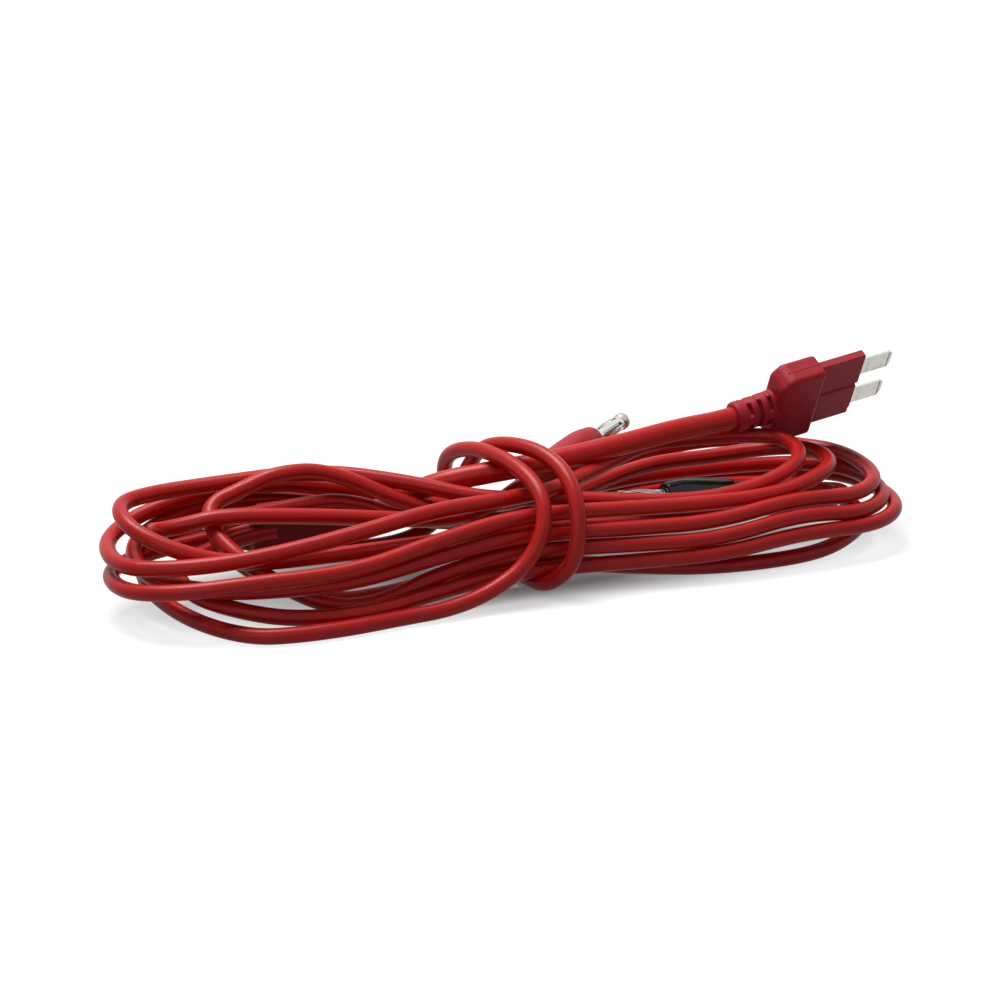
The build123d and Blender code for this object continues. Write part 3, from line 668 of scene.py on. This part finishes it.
for colour, (face, way) in BANANA_PLACES.items():
    mesh = together(placed(turned(sleeve_line, steps=64)))
    sleeve = finished(f"{colour}_insulator", mesh, seat(face, way), sleeve_finishes[colour],
                      "lead_set", 50)
    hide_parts(f"{colour}_sleeve")
    plug_pieces[colour].append(sleeve)


# A cage of six bowed spring leaves turns freely on each pin. It is rolled from thin nickel-plated
# spring strip, slit between the leaves, and held by the pin's domed tip, which has a turned ring.
spring = bare_metal("spring nickel", (0.76, 0.74, 0.7, 1), 0.12, (0.2, 1, 1), (0.45, 0.42, 0.38, 1))
LEAVES = 6
CAGE_RADIUS = 2.07
SLOT_WIDTH = 0.85
LEAF_THICK = 0.22
leaf_gap = math.degrees(SLOT_WIDTH / CAGE_RADIUS)
leaf_line = [(2.0 + 7.4 * i / 12, 1.72 + 0.33 * math.sin(math.pi * i / 12) ** 0.7) for i in range(13)]
leaf_line = [(1.95, 1.72), *leaf_line, (9.45, 1.72)]
leaf_line += [(x, r - LEAF_THICK) for x, r in reversed(leaf_line)]
leaf_line.append(leaf_line[0])
band_line = [(0, 1.5), (0, 1.68), (0.06, 1.74), (0.94, 1.74), (1, 1.68), (1, 1.5), (0, 1.5)]
nose_line = [
    (10.4, 0), (10.4, 1.7), (10.48, 1.88), (10.62, 1.97), (11.05, 1.97), (11.14, 1.84), (11.3, 1.84),
    (11.38, 1.97), (11.8, 1.97), (12.1, 1.88), (12.4, 1.66), (12.62, 1.36), (12.78, 0.96), (12.87, 0.5),
    (12.9, 0),
]


def plated(piece, metal):
    """Gives a piece that the frame brings its own metal."""
    piece.data.materials.clear()
    piece.data.materials.append(metal)


for colour, (face, way) in BANANA_PLACES.items():
    leaves = []
    for leaf in range(LEAVES):
        strip = turned(leaf_line, leaf_gap / 2, 360 / LEAVES - leaf_gap, 6)
        bmesh.ops.holes_fill(strip, edges=[e for e in strip.edges if e.is_boundary])
        leaves.append(placed(strip, 360 / LEAVES * leaf))
    bands = [placed(turned(band_line, steps=36), 0, (start, 0, 0)) for start in (1.1, 9.3)]
    cage = finished(f"{colour}_cage_spring", together(*leaves, *bands), seat(face, way), spring,
                    f"{colour}_spring")
    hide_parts(f"{colour}_cage")
    mesh = together(placed(turned(nose_line, steps=40)))
    nose = finished(f"{colour}_nose", mesh, seat(face, way), nickel, "lead_set")
    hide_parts(f"{colour}_tip")
    pin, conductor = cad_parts[f"{colour}_pin"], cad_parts[f"{colour}_conductor"]
    plated(pin, nickel)
    plug_pieces[colour] += [cage, nose, pin, conductor]


# Inside the mouldings are the bare copper cores, the brass crimps on the blades and the splices.
# None of it shows, but each has the finish of drawn copper or tinned brass.
copper = bare_metal("copper", (0.72, 0.32, 0.18, 1), 0.2, (0.15, 1, 1), (0.42, 0.18, 0.1, 1))
for name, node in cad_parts.items():
    if name.startswith(("core_", "splice_")) or name.endswith("_conductor"):
        plated(node, copper)
    if name.startswith("crimp_"):
        plated(node, tin)


# The lead set lies on a plain white table, greyer under the hank as a painted shadow, in soft light
# from a wide lamp overhead and a weaker one in front. None of this belongs to the object.
mesh = bmesh.new()
bmesh.ops.create_grid(mesh, x_segments=1, y_segments=1, size=2)
floor_data = bpy.data.meshes.new("floor")
mesh.to_mesh(floor_data)
mesh.free()
floor = bpy.data.objects.new("floor", floor_data)
bpy.context.collection.objects.link(floor)
# The table glows for the camera, and at less than half of that in the metal's reflections
table = Finish("table", Base_Color=(0.26, 0.26, 0.26, 1), Roughness=0.9)
seen = table.node("ShaderNodeLightPath", output="Is Camera Ray")
reflected = table.node("ShaderNodeLightPath", output="Is Glossy Ray")
spread = table.node("ShaderNodeMapping", {},
                    {"Vector": table.place, "Location": (0, -0.1, 0), "Scale": (9.6, 30, 0)})
distance = table.node("ShaderNodeVectorMath", {"operation": "LENGTH"}, {0: spread}, output="Value")
# The camera's glow is low under the hank and rises outwards: a painted shadow of the hank on the table
glow_with_painted_shadow = 0.1 + 0.72 * table.ramp(distance, 0.45, 1) + 0.25 * table.ramp(distance, 2.5, 9)
table.feed(table.shader.inputs["Emission Strength"], seen * glow_with_painted_shadow + reflected * 0.45)
table.shader.inputs["Emission Color"].default_value = (1, 1, 1, 1)
floor_data.materials.append(table.material)
world = bpy.data.worlds.new("room")
bpy.context.scene.world = world
world.use_nodes = True
room = world.node_tree
# The room is seen, and mirrored in the metal, at full white, but adds only this much to the light
ROOM_LIGHT = 0.14
path = room.nodes.new("ShaderNodeLightPath")
shown = path.outputs["Is Camera Ray"]
for ray in ("Is Glossy Ray", "Is Transmission Ray"):
    either = room.nodes.new("ShaderNodeMath")
    either.operation = "MAXIMUM"
    room.links.new(path.outputs[ray], either.inputs[0])
    room.links.new(shown, either.inputs[1])
    shown = either.outputs[0]
level = room.nodes.new("ShaderNodeMix")
level.inputs[2].default_value = ROOM_LIGHT
level.inputs[3].default_value = 1.0
room.links.new(shown, level.inputs[0])
room.links.new(level.outputs[0], room.nodes["Background"].inputs["Strength"])
room.nodes["Background"].inputs["Color"].default_value = (1, 1, 1, 1)
for name, place, size, power in (
    ("overhead", (-0.12, 0.22, 0.8), 0.45, 8.5),
    ("front", (-0.5, -0.8, 0.5), 0.5, 0.8),
):
    lamp = bpy.data.lights.new(name, "AREA")
    lamp.shape = "SQUARE"
    lamp.size = size
    lamp.energy = power
    holder = bpy.data.objects.new(name, lamp)
    holder.location = place
    holder.rotation_euler = (Vector((0, 0, 0.015)) - Vector(place)).to_track_quat("-Z", "Y").to_euler()
    bpy.context.collection.objects.link(holder)
